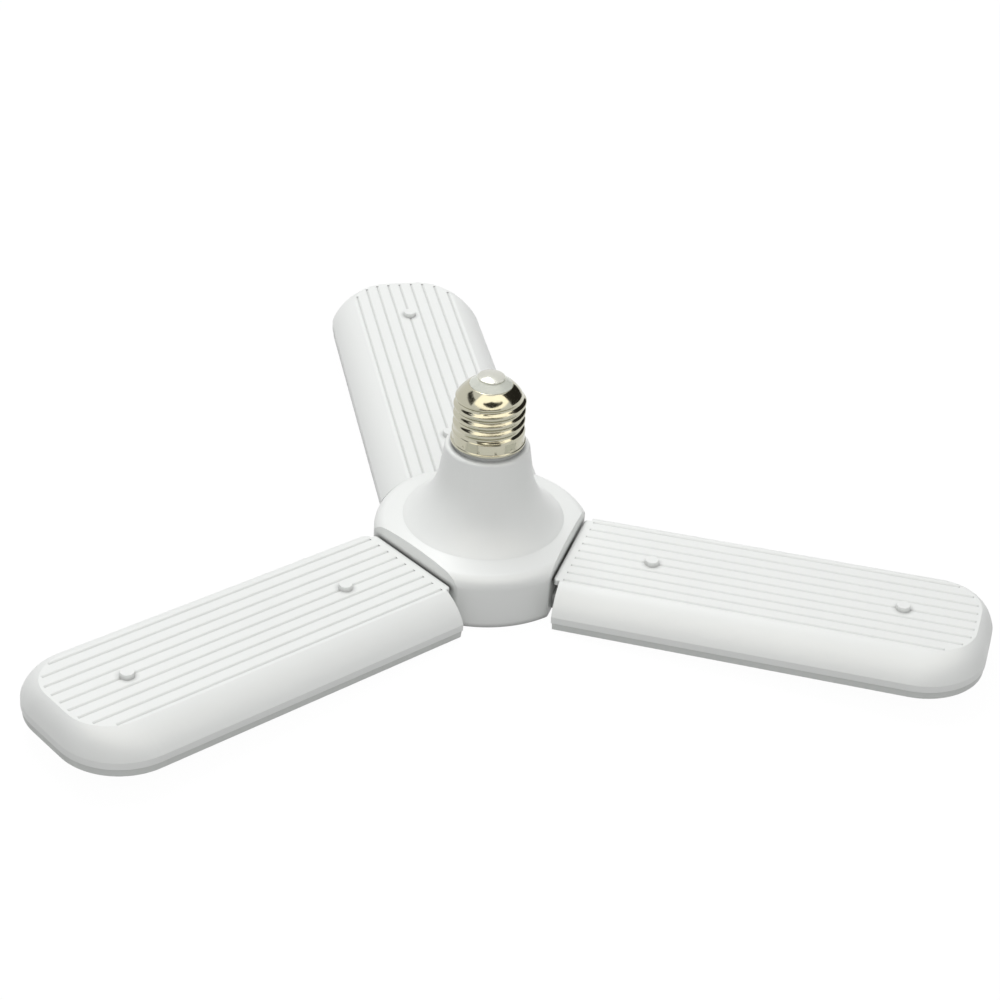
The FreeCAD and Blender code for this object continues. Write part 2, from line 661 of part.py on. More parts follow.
def flank_level(share, inset=0.0):
    """Outline of the flank after a share of its way from top to foot, moved inwards by inset."""
    steep_top, steep_foot = (math.radians(a) for a in FLANK_ANGLES)
    angle = steep_top + (steep_foot - steep_top) * share
    out = (math.sin(angle) - math.sin(steep_top)) / (math.sin(steep_foot) - math.sin(steep_top))
    down = (math.cos(steep_top) - math.cos(angle)) / (math.cos(steep_top) - math.cos(steep_foot))
    half_w = PLATEAU_HALF_W + (BLADE_HALF_W - PLATEAU_HALF_W) * out
    tip = BLADE_L - PLATEAU_SETBACK * (1 - out)
    corner_r = PLATEAU_CORNER_R + (RIM_CORNER_R - PLATEAU_CORNER_R) * out
    z = PLATEAU_Z + (RIM_Z - PLATEAU_Z) * down
    return z, half_w - inset, tip - inset, corner_r - inset


def blade_block(inset, drop, start, foot_z):
    """Solid inside the blade's outside, moved inwards by inset and down by drop."""
    levels = [flank_level(step / FLANK_STEPS, inset) for step in range(FLANK_STEPS + 1)]
    wires = [blade_outline(z - drop, half_w, tip, r, start) for z, half_w, tip, r in levels]
    sloped = Part.makeLoft(wires, True, False)
    z, half_w, tip, r = levels[-1]
    foot = Part.Face(blade_outline(z - drop, half_w, tip, r, start))
    return sloped.fuse(foot.extrude(V(0, 0, foot_z - (z - drop)))).removeSplitter()


def shell_inside(gap, z0, z1):
    """Straight-sided block inside the shell's lip, moved inwards by gap."""
    z, half_w, tip, corner_r = flank_level(1.0, SHELL_T + gap)
    return Part.Face(blade_outline(z0, half_w, tip, corner_r, SHELL_T + gap)).extrude(V(0, 0, z1 - z0))


def groove_end(y):
    """How far out the groove at y runs, short of the ribbed top's rounded tip."""
    tip = BLADE_L - PLATEAU_SETBACK
    past = abs(y) - (PLATEAU_HALF_W - PLATEAU_CORNER_R)
    if past <= 0:
        return tip - GROOVE_END_MARGIN
    return tip - PLATEAU_CORNER_R + math.sqrt(PLATEAU_CORNER_R ** 2 - past ** 2) - GROOVE_END_MARGIN


def blade_grooves():
    """V-shaped wedges that cut the grooves, drawn on up above the top by their own depth."""
    found = []
    low, high = PLATEAU_Z - GROOVE_DEPTH, PLATEAU_Z + GROOVE_DEPTH
    for index in range(GROOVE_COUNT):
        y = (index - (GROOVE_COUNT - 1) / 2) * GROOVE_PITCH
        corners = [V(GROOVE_START, y - GROOVE_W, high), V(GROOVE_START, y, low),
                   V(GROOVE_START, y + GROOVE_W, high)]
        section = Part.Face(Part.makePolygon(corners + corners[:1]))
        found.append(section.extrude(V(groove_end(y) - GROOVE_START, 0, 0)))
    return Part.makeCompound(found)


def knuckle(side):
    """Blade's half of the hinge on one side of its middle, rooted in the pocket's back wall."""
    y0, y1 = sorted((side * KNUCKLE_IN, side * (KNUCKLE_IN + KNUCKLE_L)))
    barrel = rod(KNUCKLE_R, (0, y0, 0), (0, y1, 0))
    web = box(0, POCKET_BACK - POCKET_WALL / 2, y0, y1, -KNUCKLE_R * 0.7, KNUCKLE_R)
    return barrel.fuse(web)


def tongue_start():
    """Where the tongue ends, so that it stops TONGUE_STOP_GAP short of the hub's flat."""
    tilt = math.radians(REST_TILT)
    wanted = HUB_FLAT + TONGUE_STOP_GAP - HINGE_R
    return (wanted + PLATEAU_Z * math.sin(tilt)) / math.cos(tilt)


def tongue():
    """Level flap that carries the ribbed top on towards the hub, rounded at its free end."""
    start = tongue_start()
    flap = box(start, 1, -TONGUE_HALF_W, TONGUE_HALF_W, PLATEAU_Z - TONGUE_T, PLATEAU_Z)
    corners = [e for e in upright_edges(flap) if e.BoundBox.XMax < start + 1e-6]
    flap = flap.makeFillet(TONGUE_CORNER_R, corners)
    rim = [e for e in flap.Edges if e.BoundBox.ZMin > PLATEAU_Z - 1e-6
           and e.BoundBox.XMax < start + TONGUE_CORNER_R + 1e-6]
    return flap.makeFillet(TONGUE_EDGE_R, rim)


def blade_shell():
    """Ribbed back of a blade: hollow, open below, with the hinge pocket at its hub end."""
    outside = blade_block(0, 0, 0, LIP_Z)
    hollow = blade_block(SHELL_T, SHELL_T, SHELL_T, LIP_Z - 1)
    hollow = hollow.fuse(shell_inside(0, LIP_Z - 1, LIP_Z + PLUG_H + PLUG_GAP))
    walls = box(-1, POCKET_BACK, -POCKET_HALF_W - POCKET_WALL, POCKET_HALF_W + POCKET_WALL, -FAR, FAR)
    pocket = box(-FAR, POCKET_DEPTH, -POCKET_HALF_W, POCKET_HALF_W, -FAR, PLATEAU_Z - TONGUE_T)
    shell = outside.cut(hollow.cut(walls)).cut(pocket).cut(blade_grooves())
    parts = [shell, tongue(), knuckle(-1), knuckle(1)]
    for x in NUB_X:
        boss_top = PLATEAU_Z - SHELL_T
        parts.append(Part.makeCylinder(BOARD_BOSS_R, boss_top - LED_BOARD_TOP + 0.5, V(x, 0, LED_BOARD_TOP)))
        parts.append(Part.makeCone(NUB_R, NUB_TOP_R, NUB_H + 1, V(x, 0, PLATEAU_Z - 1)))
    shell = fused(parts)
    shell = shell.cut(rod(PIN_R + PIN_RUN_GAP, (0, -LUG_OUT, 0), (0, LUG_OUT, 0)))
    for x in NUB_X:
        hole = Part.makeCylinder(BOARD_SCREW_R + 0.02, BOARD_SCREW_LENGTH + 0.5, V(x, 0, LED_BOARD_TOP - 0.5))
        shell = shell.cut(hole)
    return shell.cut(blade_port(LEAD_PORT[1] / 2))


def blade_port(top):
    """The wires' way through the walls at a blade's hub end."""
    return box(0, POCKET_BACK + PLUG_GAP + PLUG_WALL + 1, -LEAD_PORT[0] / 2, LEAD_PORT[0] / 2,
               -LEAD_PORT[1] / 2, top)


def notched(shape, margin):
    """Cut the hinge pocket's footprint, grown by margin, out of a blade piece."""
    reach = POCKET_HALF_W + POCKET_WALL + margin
    return shape.cut(box(-FAR, POCKET_BACK + margin, -reach, reach, -FAR, FAR))


def diffuser():
    """Milky tray under a blade: a plate with a low wall that shows, and a plug inside the lip."""
    z, half_w, tip, corner_r = flank_level(1.0, DIFFUSER_INSET)
    start = PLUG_GAP
    top = blade_outline(LIP_Z, half_w, tip, corner_r, start)
    low = blade_outline(DIFFUSER_Z, half_w - DIFFUSER_DRAFT, tip - DIFFUSER_DRAFT, corner_r - DIFFUSER_DRAFT,
                        start)
    band = Part.makeLoft([low, top], True, True)
    plug = shell_inside(PLUG_GAP, LIP_Z, LIP_Z + PLUG_H)
    inside = shell_inside(PLUG_GAP + PLUG_WALL, DIFFUSER_Z + DIFFUSER_T, LIP_Z + PLUG_H + 1)
    tray = notched(band.fuse(plug), PLUG_GAP).cut(notched(inside, PLUG_GAP + PLUG_WALL))
    return tray.cut(blade_port(LIP_Z + PLUG_H + 1)).removeSplitter()


def led_board():
    """Aluminium light board, screwed up against the two bosses under the nubs."""
    outline = blade_outline(LED_BOARD_TOP, LED_BOARD_HALF_W, LED_BOARD_TIP, LED_BOARD_CORNER_R,
                            LED_BOARD_START)
    board = Part.Face(outline).extrude(V(0, 0, -LED_BOARD_T))
    for x in NUB_X:
        board = board.cut(Part.makeCylinder(BOARD_SCREW_R + 0.2, LED_BOARD_T + 2,
                                            V(x, 0, LED_BOARD_TOP - LED_BOARD_T - 1)))
    return board


def led_chips():
    """Grid of surface-mounted light chips on the board's underside."""
    under = LED_BOARD_TOP - LED_BOARD_T
    length, width, height = LED_CHIP
    found = []
    for column in range(CHIP_COLUMNS):
        for y in CHIP_ROWS:
            x = CHIP_FIRST + column * CHIP_PITCH
            found.append(box(x - length / 2, x + length / 2, y - width / 2, y + width / 2,
                             under - height, under))
    return Part.makeCompound(found)


def board_screws():
    found = []
    for x in NUB_X:
        one = screw(BOARD_HEAD_R, BOARD_HEAD_H, BOARD_SCREW_R, BOARD_SCREW_LENGTH, 1.2, 0.7)
        one.translate(V(x, 0, LED_BOARD_TOP - LED_BOARD_T))
        found.append(one)
    return Part.makeCompound(found)


def on_blade(shape, index):
    """Carry a piece from the level blade frame to blade number index at rest."""
    copy = shape.copy()
    copy.rotate(V(0, 0, 0), V(0, 1, 0), -REST_TILT)
    copy.translate(V(HINGE_R, 0, HINGE_Z))
    return turned(copy, index)


# ---------------------------------------------------------------- hinge pieces that stay on the hub
def hinge_pins():
    """Two headed pins, one each side of the wires, entered from the outer face of each lug."""
    found = []
    for side in (-1, 1):
        shaft = rod(PIN_R, (HINGE_R, side * KNUCKLE_IN, HINGE_Z), (HINGE_R, side * LUG_OUT, HINGE_Z))
        head = rod(PIN_HEAD_R, (HINGE_R, side * LUG_OUT, HINGE_Z),
                   (HINGE_R, side * (LUG_OUT + PIN_HEAD_H), HINGE_Z))
        found.append(shaft.fuse(head).removeSplitter())
    return Part.makeCompound(found)


def hinge_washers():
    """Friction washers between each lug and the blade's knuckle."""
    found = []
    for side in (-1, 1):
        inner = side * (LUG_IN - WASHER_GAP - WASHER_T)
        outer = side * (LUG_IN - WASHER_GAP)
        ring = rod(WASHER_R, (HINGE_R, inner, HINGE_Z), (HINGE_R, outer, HINGE_Z))
        hole = rod(PIN_R + 0.1, (HINGE_R, inner - side, HINGE_Z), (HINGE_R, outer + side, HINGE_Z))
        found.append(ring.cut(hole))
    return Part.makeCompound(found)


def blade_lead():
    """Pair of wires from the driver board's underside through the hinge to the light board."""
    tilt = math.radians(REST_TILT)

    def from_blade(x, z):
        out = x * math.cos(tilt) - z * math.sin(tilt)
        up = x * math.sin(tilt) + z * math.cos(tilt)
        return HINGE_R + out, HINGE_Z + up

    corner_x, corner_z = from_blade(LEAD_END_X, 0)
    end_x, end_z = from_blade(LEAD_END_X, LED_BOARD_TOP - LED_BOARD_T)
    found = []
    for side in (-1, 1):
        y = side * (WIRE_R + LEAD_PAIR_GAP / 2)
        found.append(smooth_tube([(LEAD_START_R, y, BOARD_UNDER), (LEAD_START_R, y, HINGE_Z),
                                  (HINGE_R, y, HINGE_Z), (corner_x, y, corner_z), (end_x, y, end_z)],
                                 LEAD_BENDS, WIRE_R))
    return Part.makeCompound(found)


# ---------------------------------------------------------------- export
def export(name, shape):
    solids = shape.Solids
    assert solids and all(s.isValid() for s in solids), name
    shape = solids[0] if len(solids) == 1 else Part.makeCompound(solids)
    shape.exportStep("parts/" + name + ".step")
    bounds = shape.BoundBox
    print(name, len(solids), "solids,", round(shape.Volume, 1), "mm3, z", round(bounds.ZMin, 1),
          "to", round(bounds.ZMax, 1))


def main():
    os.makedirs("parts", exist_ok=True)
    hub_pieces = [cap_shell, cap_insulator, centre_contact, live_lead, neutral_lead, hub_housing, hub_cover,
                  hub_cover_screws, driver_board, smoothing_capacitor, transformer_core, transformer_coil,
                  film_capacitor, bridge_rectifier, driver_chip, fuse_resistor]
    for piece in hub_pieces:
        export(piece.__name__, piece())
    for piece in (blade_shell, diffuser, led_board, led_chips, board_screws):
        level = piece()
        for index in range(BLADE_COUNT):
            export(piece.__name__ + "_" + str(index + 1), on_blade(level, index))
    for piece in (hinge_pins, hinge_washers, blade_lead):
        drawn = piece()
        for index in range(BLADE_COUNT):
            export(piece.__name__ + "_" + str(index + 1), turned(drawn, index))


main()
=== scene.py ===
import json
import math

import bpy
import bmesh
from mathutils import Matrix, Vector


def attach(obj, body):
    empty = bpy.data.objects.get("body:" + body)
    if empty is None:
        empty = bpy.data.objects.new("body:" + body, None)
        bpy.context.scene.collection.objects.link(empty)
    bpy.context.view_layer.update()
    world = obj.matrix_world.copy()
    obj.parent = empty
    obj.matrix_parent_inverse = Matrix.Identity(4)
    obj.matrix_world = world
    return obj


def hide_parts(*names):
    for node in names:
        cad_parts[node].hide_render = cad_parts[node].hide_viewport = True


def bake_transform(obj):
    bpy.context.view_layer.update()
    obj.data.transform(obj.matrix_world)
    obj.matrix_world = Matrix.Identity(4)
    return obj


# Folding ceiling lamp around its frame: finishes, the rolled cap, the wires and the studio.
# Metres, in the frame's own axes: +Z up, origin at the cap's lower rim.

MM = 0.001

# camera, fitted to the photograph
PHOTO_WIDTH = 1000
FOCAL_PX = 2125.1
SENSOR_MM = 36.0
CAMERA_AT = (0.0, -0.657052, 0.401571)
CAMERA_RIGHT = (0.99821405, 0.02614492, 0.05371367)
CAMERA_UP = (-0.05927814, 0.54494249, 0.83637539)
CAMERA_FORWARD = (0.0074039, 0.83806571, -0.54551907)
CAMERA_NEAR = 0.05

BLADES = (1, 2, 3)
PAINTED_SHADE_REACH = 2.0 * MM     # grooves and corners narrower than this get painted shade, a darker base colour
# samples for the painted shade in grooves and corners
PAINTED_SHADE_SAMPLES = 8

# screw cap, as in the frame
SKIRT_R = 13.3 * MM
SKIRT_H = 4.8 * MM
SHELL_WALL = 0.3 * MM
CREST_R = 13.1 * MM
THREAD_PITCH = 3.629 * MM
THREAD_DEPTH = 1.1 * MM
THREAD_START = 6.5 * MM
THREAD_FACING = math.radians(-82.0)
THREAD_TURNS = 3.1
THREAD_RUN_OUT = 0.25        # turns by which the groove goes on past each end
THREAD_FADE = 0.3            # turns over which it comes up to its full depth
THREAD_NARROWING = 1.12      # over 1, the crests between the grooves have a flat top
CAP_SHOULDER_Z = 16.9 * MM
SHOULDER_BULGE = 0.5 * MM
SHELL_TOP_Z = 23.2 * MM
SHELL_TOP_R = 7.8 * MM

# screw cap: what the frame leaves out
RIM_R = 13.7 * MM            # rolled rim at the skirt's foot
RIM_H = 0.7 * MM
RIM_EASE = 0.35 * MM         # height over which the rim runs into the skirt
TOP_ROLL = 0.25 * MM         # rounding of the edge around the glass
RING_STEP = 0.15 * MM
CAP_SEGMENTS = 288
CRIMP_COUNT = 13
CRIMP_FACING = math.radians(-76.5)
CRIMP_Z = 1.75 * MM
CRIMP_W = 1.2 * MM
CRIMP_H = 0.8 * MM
CRIMP_DEPTH = 0.28 * MM
CRIMP_POWER = 0.35           # under 1, a crimp has steep sides and a flat bottom

# wires through the hinges
WIRE_WELD = 1e-6
WIRE_LONG_EDGE = 1.2 * MM    # longer edges are cut, so that the wires bend smoothly
WIRE_CUTS = 7

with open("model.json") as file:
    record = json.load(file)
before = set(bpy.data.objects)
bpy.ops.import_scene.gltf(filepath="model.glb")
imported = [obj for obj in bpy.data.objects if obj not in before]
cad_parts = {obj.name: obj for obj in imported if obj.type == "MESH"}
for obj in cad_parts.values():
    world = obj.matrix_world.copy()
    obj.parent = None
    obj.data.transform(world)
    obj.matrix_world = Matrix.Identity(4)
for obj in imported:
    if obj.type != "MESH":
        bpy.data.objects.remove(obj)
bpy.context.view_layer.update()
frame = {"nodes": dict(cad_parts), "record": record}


# ---------------------------------------------------------------- materials
def new_material(name, color, roughness, metallic=0.0, specular=0.5):
    """Principled material; returns it with its shader and node tree."""
    material = bpy.data.materials.new(name)
    material.use_nodes = True
    tree = material.node_tree
    shader = tree.nodes["Principled BSDF"]
    shader.inputs["Base Color"].default_value = (*color, 1.0)
    shader.inputs["Roughness"].default_value = roughness
    shader.inputs["Metallic"].default_value = metallic
    shader.inputs["Specular IOR Level"].default_value = specular
    return material, shader, tree


def noise(tree, scale, detail=3.0, roughness=0.5, stretch=(1.0, 1.0, 1.0)):
    """Noise in the object's own coordinates; scale is in waves per metre."""
    place = tree.nodes.new("ShaderNodeTexCoord")
    mapping = tree.nodes.new("ShaderNodeMapping")
    mapping.inputs["Scale"].default_value = stretch
    texture = tree.nodes.new("ShaderNodeTexNoise")
    texture.inputs["Scale"].default_value = scale
    texture.inputs["Detail"].default_value = detail
    texture.inputs["Roughness"].default_value = roughness
    tree.links.new(place.outputs["Object"], mapping.inputs["Vector"])
    tree.links.new(mapping.outputs["Vector"], texture.inputs["Vector"])
    return texture.outputs["Fac"]


def ramp(tree, value, low, high, from_min=0.3, from_max=0.7):
    """Map a value to the range low to high."""
    node = tree.nodes.new("ShaderNodeMapRange")
    node.inputs["From Min"].default_value = from_min
    node.inputs["From Max"].default_value = from_max
    node.inputs["To Min"].default_value = low
    node.inputs["To Max"].default_value = high
    tree.links.new(value, node.inputs["Value"])
    return node.outputs["Result"]


def tint(tree, shader, value, color_a, color_b):
    """Base colour that wanders between two near colours."""
    node = tree.nodes.new("ShaderNodeMix")
    node.data_type = "RGBA"
    node.inputs["A"].default_value = (*color_a, 1.0)
    node.inputs["B"].default_value = (*color_b, 1.0)
    tree.links.new(value, node.inputs["Factor"])
    tree.links.new(node.outputs["Result"], shader.inputs["Base Color"])


def uneven_gloss(tree, shader, value, low, high, from_min=0.3, from_max=0.7):
    """Roughness that wanders between low and high."""
    result = ramp(tree, value, low, high, from_min, from_max)
    tree.links.new(result, shader.inputs["Roughness"])


def bump(tree, shader, height, strength, distance):
    """Fine relief from a height; distance is in metres."""
    node = tree.nodes.new("ShaderNodeBump")
    node.inputs["Strength"].default_value = strength
    node.inputs["Distance"].default_value = distance
    tree.links.new(height, node.inputs["Height"])
    tree.links.new(node.outputs["Normal"], shader.inputs["Normal"])


def shade(color, factor):
    """The colour, lighter or darker by a factor."""
    return tuple(min(1.0, channel * factor) for channel in color)


def paint_crevice_shade(tree, shader, reach):
    """Painted shade: darken the base colour in grooves and corners narrower than reach."""
    link = shader.inputs["Base Color"].links[0]
    occlusion_shade = tree.nodes.new("ShaderNodeAmbientOcclusion")
    occlusion_shade.samples = PAINTED_SHADE_SAMPLES
    occlusion_shade.inputs["Distance"].default_value = reach
    tree.links.new(link.from_socket, occlusion_shade.inputs["Color"])
    tree.links.new(occlusion_shade.outputs["Color"], shader.inputs["Base Color"])


def moulded_plastic(name, color, roughness, grain=0.00002, spread=0.015):
    """Injection-moulded plastic: slight colour drift, painted shade in crevices, a fine satin
    grain, uneven gloss.
    """
    material, shader, tree = new_material(name, color, roughness)
    drift = noise(tree, 22.0)
    tint(tree, shader, drift, shade(color, 1 - spread), shade(color, 1 + spread))
    # painted shade: base colour darkened in grooves and corners
    paint_crevice_shade(tree, shader, PAINTED_SHADE_REACH)
    uneven_gloss(tree, shader, noise(tree, 90.0, 4.0), roughness - 0.05, roughness + 0.06)
    bump(tree, shader, noise(tree, 2600.0, 2.0), 0.25, grain)
    return material


def milky_plastic(name, color):
    """Light-scattering cover: pale, a little translucent."""
    material, shader, tree = new_material(name, color, 0.5)
    shader.inputs["Subsurface Weight"].default_value = 0.25
    shader.inputs["Subsurface Radius"].default_value = (1.0, 1.0, 1.0)
    shader.inputs["Subsurface Scale"].default_value = 0.0012
    drift = noise(tree, 35.0)
    tint(tree, shader, drift, shade(color, 0.985), shade(color, 1.01))
    uneven_gloss(tree, shader, noise(tree, 160.0), 0.42, 0.56)
    bump(tree, shader, noise(tree, 3000.0, 2.0), 0.2, 0.00002)
    return material


def plated_metal(name, color, roughness, dull=0.1):
    """Bright plated sheet: soft smudges and a faint rolling mark around the part."""
    material, shader, tree = new_material(name, color, roughness, metallic=1.0)
    tint(tree, shader, noise(tree, 140.0, 4.0), shade(color, 0.93), shade(color, 1.04))
    smudge = noise(tree, 260.0, 5.0, 0.6)
    uneven_gloss(tree, shader, smudge, roughness, roughness + dull, 0.42, 0.75)
    bump(tree, shader, noise(tree, 420.0, 3.0, 0.5, (0.35, 0.35, 4.0)), 0.12, 0.00004)
    return material


def steel(name, color, roughness):
    """Turned or zinc-plated steel."""
    material, shader, tree = new_material(name, color, roughness, metallic=1.0)
    tint(tree, shader, noise(tree, 500.0, 4.0), shade(color, 0.85), shade(color, 1.08))
    uneven_gloss(tree, shader, noise(tree, 900.0), roughness - 0.08, roughness + 0.1)
    bump(tree, shader, noise(tree, 1800.0, 2.0), 0.2, 0.00002)
    return material


def speckled(name, color, roughness, scale, spread, metallic=0.0):
    """Small part with a fine mottled surface, such as a ceramic, a board or a lacquer."""
    material, shader, tree = new_material(name, color, roughness, metallic)
    tint(tree, shader, noise(tree, scale, 4.0), shade(color, 1 - spread), shade(color, 1 + spread))
    uneven_gloss(tree, shader, noise(tree, scale / 2), roughness - 0.06, roughness + 0.08)
    bump(tree, shader, noise(tree, scale * 2, 2.0), 0.15, 0.00003)
    return material


def make_materials():
    """One material for each material slot of the record."""
    return {
        "nickel": plated_metal("bright_nickel", (0.51, 0.495, 0.395), 0.10),
        "cap_glass": speckled("cap_glass", (0.68, 0.70, 0.63), 0.25, 300.0, 0.03),
        "contact_metal": plated_metal("contact_nickel", (0.64, 0.64, 0.58), 0.16),
        "white_plastic": moulded_plastic("white_plastic", (0.86, 0.875, 0.86), 0.38),
        "milky_plastic": milky_plastic("milky_plastic", (0.70, 0.72, 0.70)),
        "screw_steel": steel("screw_steel", (0.50, 0.50, 0.50), 0.32),
        "pin_steel": steel("pin_steel", (0.55, 0.55, 0.56), 0.28),
        "washer_nylon": moulded_plastic("washer_nylon", (0.62, 0.62, 0.56), 0.5),
        "board_aluminium": speckled("light_board", (0.78, 0.79, 0.77), 0.35, 400.0, 0.02, 0.1),
        "light_chip": speckled("light_chip", (0.88, 0.70, 0.16), 0.3, 1200.0, 0.06),
        "circuit_board": speckled("circuit_board", (0.03, 0.16, 0.06), 0.35, 700.0, 0.12),
        "capacitor_sleeve": speckled("capacitor_sleeve", (0.015, 0.02, 0.07), 0.3, 300.0, 0.1),
        "ferrite": speckled("ferrite", (0.03, 0.03, 0.033), 0.6, 900.0, 0.2),
        "coil_tape": speckled("coil_tape", (0.72, 0.50, 0.05), 0.3, 250.0, 0.06),
        "film_case": speckled("film_case", (0.50, 0.06, 0.02), 0.3, 300.0, 0.08),
        "black_epoxy": speckled("black_epoxy", (0.012, 0.012, 0.013), 0.5, 1200.0, 0.2),
        "resistor_coat": speckled("resistor_coat", (0.12, 0.30, 0.20), 0.35, 600.0, 0.1),
        "live_insulation": moulded_plastic("live_insulation", (0.40, 0.02, 0.015), 0.4),
        "neutral_insulation": moulded_plastic("neutral_insulation", (0.02, 0.02, 0.02), 0.4),
        "lead_insulation": moulded_plastic("lead_insulation", (0.76, 0.76, 0.72), 0.4),
    }


def dress_nodes(materials):
    """Give every carried-over node its slot's material."""
    slots = {sub["node"]: sub["material_slot"] for sub in frame["record"]["subparts"]}
    for node, piece in frame["nodes"].items():
        piece.data.materials.clear()
        piece.data.materials.append(materials[slots[node]])


# ---------------------------------------------------------------- pieces
def add_piece(name, mesh, material, body, node):
    """Mesh object that stands for a node of the frame and rides on a body."""
    piece = bpy.data.objects.new(name, mesh)
    bpy.context.scene.collection.objects.link(piece)
    mesh.materials.append(material)
    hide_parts(node)
    if body:
        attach(piece, body)
    return piece


def turned_mesh(name, rings, segments):
    """Closed mesh from rings of points; each ring is a function of the angle giving (r, z)."""
    bm = bmesh.new()
    loops = []
    for ring in rings:
        loop = []
        for index in range(segments):
            angle = 2 * math.pi * index / segments
            radius, z = ring(angle)
            loop.append(bm.verts.new((radius * math.cos(angle), radius * math.sin(angle), z)))
        loops.append(loop)
    for ring_index, loop in enumerate(loops):
        following = loops[(ring_index + 1) % len(loops)]
        for index in range(segments):
            after = (index + 1) % segments
            bm.faces.new((loop[index], loop[after], following[after], following[index]))
    for face in bm.faces:
        face.smooth = True
    bmesh.ops.recalc_face_normals(bm, faces=bm.faces)
    mesh = bpy.data.meshes.new(name)
    bm.to_mesh(mesh)
    bm.free()
    return mesh


def thread_dent(angle, z):
    """How deep the rolled groove lies below the crest at a place on the cap."""
    turn = ((angle - THREAD_FACING) / (2 * math.pi)) % 1.0
    turns_up = (z - THREAD_START) / THREAD_PITCH
    number = round(turns_up - turn)
    along = number + turn
    if along < -THREAD_RUN_OUT or along > THREAD_TURNS + THREAD_RUN_OUT:
        return 0.0
    fade = min(1.0, (along + THREAD_RUN_OUT) / THREAD_FADE,
               (THREAD_TURNS + THREAD_RUN_OUT - along) / THREAD_FADE)
    off = abs(z - THREAD_START - along * THREAD_PITCH)
    share = min(1.0, off / (THREAD_PITCH / 2) * THREAD_NARROWING)
    return THREAD_DEPTH * fade * (0.5 + 0.5 * math.cos(math.pi * share))


def crimp_dent(angle, z):
    """Depth of the small punched marks around the skirt."""
    step = 2 * math.pi / CRIMP_COUNT
    across = (((angle - CRIMP_FACING) / step + 0.5) % 1.0 - 0.5) * step * SKIRT_R
    far = math.hypot(across / (CRIMP_W / 2), (z - CRIMP_Z) / (CRIMP_H / 2))
    return CRIMP_DEPTH * (1 - far * far) ** CRIMP_POWER if far < 1 else 0.0


def shoulder_arc():
    """Centre and radius of the bulging arc from the top of the thread to the hole in the top."""
    narrowing, rise = CREST_R - SHELL_TOP_R, SHELL_TOP_Z - CAP_SHOULDER_Z
    chord = math.hypot(narrowing, rise)
    radius = (chord ** 2 / 4 + SHOULDER_BULGE ** 2) / (2 * SHOULDER_BULGE)
    back = radius - SHOULDER_BULGE
    centre_r = (CREST_R + SHELL_TOP_R) / 2 - back * rise / chord
    centre_z = (CAP_SHOULDER_Z + SHELL_TOP_Z) / 2 - back * narrowing / chord
    return centre_r, centre_z, radius


def ease(share):
    """Smooth step from 0 to 1."""
    share = min(1.0, max(0.0, share))
    return 0.5 - 0.5 * math.cos(math.pi * share)


def cap_outer(z, inset=0.0):
    """Cap's outside radius without thread or crimps, moved inwards by inset."""
    if z > CAP_SHOULDER_Z:
        centre_r, centre_z, radius = shoulder_arc()
        up = min(z - centre_z, radius - inset)
        return max(SHELL_TOP_R, centre_r + math.sqrt((radius - inset) ** 2 - up ** 2))
    rim = (RIM_R - SKIRT_R) * (1 - ease((z - RIM_H) / RIM_EASE))
    step = (SKIRT_R - CREST_R) * ease((z - SKIRT_H) / (SKIRT_R - CREST_R))
    return SKIRT_R + rim - step - inset


def cap_rings():
    """Rings up the outside, over the top edge, down the inside and back to the rim."""
    count = round(SHELL_TOP_Z / RING_STEP)
    heights = [SHELL_TOP_Z * index / count for index in range(count + 1)]
    top_inside = SHELL_TOP_Z - SHELL_WALL

    def outside(z):
        def ring(angle):
            rolled = TOP_ROLL * ease((z - SHELL_TOP_Z + TOP_ROLL) / TOP_ROLL) / 2
            return cap_outer(z) - thread_dent(angle, z) - crimp_dent(angle, z) - rolled, z
        return ring

    def inside(z):
        def ring(angle):
            return cap_outer(z, SHELL_WALL) - thread_dent(angle, z), z
        return ring

    rings = [outside(z) for z in heights]
    rings += [inside(z) for z in reversed(heights[::2]) if z < top_inside]
    return rings


def build_cap(materials):
    """Rolled and crimped sheet cap in place of the frame's plain one."""
    mesh = turned_mesh("screw_cap", cap_rings(), CAP_SEGMENTS)
    return add_piece("screw_cap", mesh, materials["nickel"], "hub", "cap_shell")


def wire_mesh(name, node_mesh):
    """Copy of a wire pair's mesh, cut finely along its length so that it bends smoothly."""
    mesh = node_mesh.copy()
    mesh.name = name
    bm = bmesh.new()
    bm.from_mesh(mesh)
    bmesh.ops.remove_doubles(bm, verts=bm.verts, dist=WIRE_WELD)
    long_edges = [edge for edge in bm.edges if edge.calc_length() > WIRE_LONG_EDGE]
    bmesh.ops.subdivide_edges(bm, edges=long_edges, cuts=WIRE_CUTS, use_grid_fill=True)
    for face in bm.faces:
        face.smooth = True
    bm.to_mesh(mesh)
    bm.free()
    mesh.materials.clear()
    return mesh


def build_leads(materials):
    """Wires through the hinges between hub and blade, copied from the frame and cut finely."""
    for number in BLADES:
        node = "blade_lead_" + str(number)
        mesh = wire_mesh("hinge_wires_" + str(number), frame["nodes"][node].data)
        piece = add_piece(mesh.name, mesh, materials["lead_insulation"], None,
                          node)
        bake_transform(piece)


# ---------------------------------------------------------------- studio
FLOOR_Z = -55.0 * MM         # at the hub's underside
FLOOR_HALF = 6.0
BACKDROP_WHITE = 1.0
FLOOR_WHITE = 1.08
FLOOR_ALBEDO = 0.43          # what the floor throws back up at the lamp
SHADOW_SHARE = 0.10          # how much of the lamp's shadow the camera sees on the floor
WORLD_LIGHT = 0.38
LIGHTS_LOOK_AT = (0, 0, -0.03)
KEY_AT = (-0.25, 0.45, 1.15)
KEY_SIZE = 0.7
KEY_POWER = 8.2
FRONT_AT = (0.1, -0.95, 1.0)
FRONT_SIZE = 1.0
FRONT_POWER = 5.6

